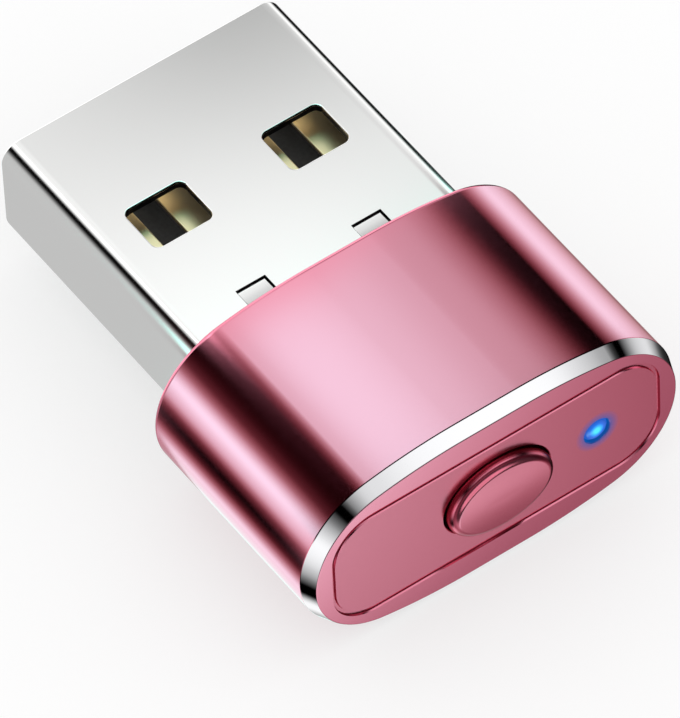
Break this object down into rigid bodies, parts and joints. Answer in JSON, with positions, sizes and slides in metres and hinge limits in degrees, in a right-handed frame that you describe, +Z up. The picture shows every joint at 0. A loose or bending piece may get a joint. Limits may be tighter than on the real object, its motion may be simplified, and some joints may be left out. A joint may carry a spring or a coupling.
{
  "type": "usb mouse jiggler",
  "caption": "USB-A dongle with an oval anodised sleeve, a bright chamfer, and an end panel with a push button and a status light.",
  "frame": {"origin": "centre of the flat land on the sleeve's underside, midway along the sleeve", "axes": "+Y out of the plug's tip, +Z up from the flat land, +X across the width; the button faces -Y"},
  "size_m": [0.0158, 0.0219, 0.0079],
  "materials": {
    "anodised_sleeve": "pink anodised aluminium, glossy satin, with a bright-cut mirror chamfer round the end",
    "anodised_panel": "pink anodised aluminium, satin",
    "anodised_button": "pink anodised aluminium, satin",
    "nickel_plate": "polished nickel plate on stamped steel",
    "black_nylon": "black glass-filled nylon, moulded",
    "gold_plate": "thin gold plate on stamped bronze",
    "black_abs": "black ABS, fine moulded texture",
    "clear_acrylic": "clear acrylic, lit blue from behind",
    "green_board": "green solder mask on glass-epoxy board",
    "chip_epoxy": "black moulding epoxy",
    "crystal_can": "nickel-silver can on a ceramic base",
    "capacitor_ceramic": "fired tan ceramic, tinned ends",
    "resistor_glaze": "black glazed chip, tinned ends",
    "led_body": "white moulded lamp body",
    "switch_nylon": "black moulded nylon",
    "switch_steel": "stamped stainless steel",
    "switch_button": "brown moulded nylon",
    "tin_solder": "tin solder, smooth"
  },
  "bodies": {
    "case": {"body_shell": "anodised_sleeve", "end_panel": "anodised_panel", "light_pipe": "clear_acrylic", "front_collar": "black_abs", "carrier_upper": "black_abs", "carrier_lower": "black_abs", "plug_shell": "nickel_plate", "plug_insulator": "black_nylon", "contact_vbus": "gold_plate", "contact_data_minus": "gold_plate", "contact_data_plus": "gold_plate", "contact_ground": "gold_plate", "circuit_board": "green_board", "microcontroller": "chip_epoxy", "voltage_regulator": "chip_epoxy", "crystal": "crystal_can", "ceramic_capacitors": "capacitor_ceramic", "chip_resistors": "resistor_glaze", "status_led": "led_body", "switch_base": "switch_nylon", "switch_cover": "switch_steel", "switch_dome": "switch_steel", "switch_terminals": "switch_steel", "solder_joints": "tin_solder"},
    "button": {"button_cap": "anodised_button"},
    "plunger": {"switch_plunger": "switch_button"}
  },
  "joints": [
    {"name": "button_press", "type": "slide", "parent": "case", "child": "button", "axis": [0, 1, 0], "range_m": [0, 0.0002], "stiffness_N_per_m": 6000},
    {"name": "plunger_press", "type": "slide", "parent": "case", "child": "plunger", "axis": [0, 1, 0], "range_m": [0, 0.0002], "deforming": ["switch_dome"]}
  ],
  "couplings": [
    {"joint": "plunger_press", "follows": "button_press", "ratio": 1}
  ]
}
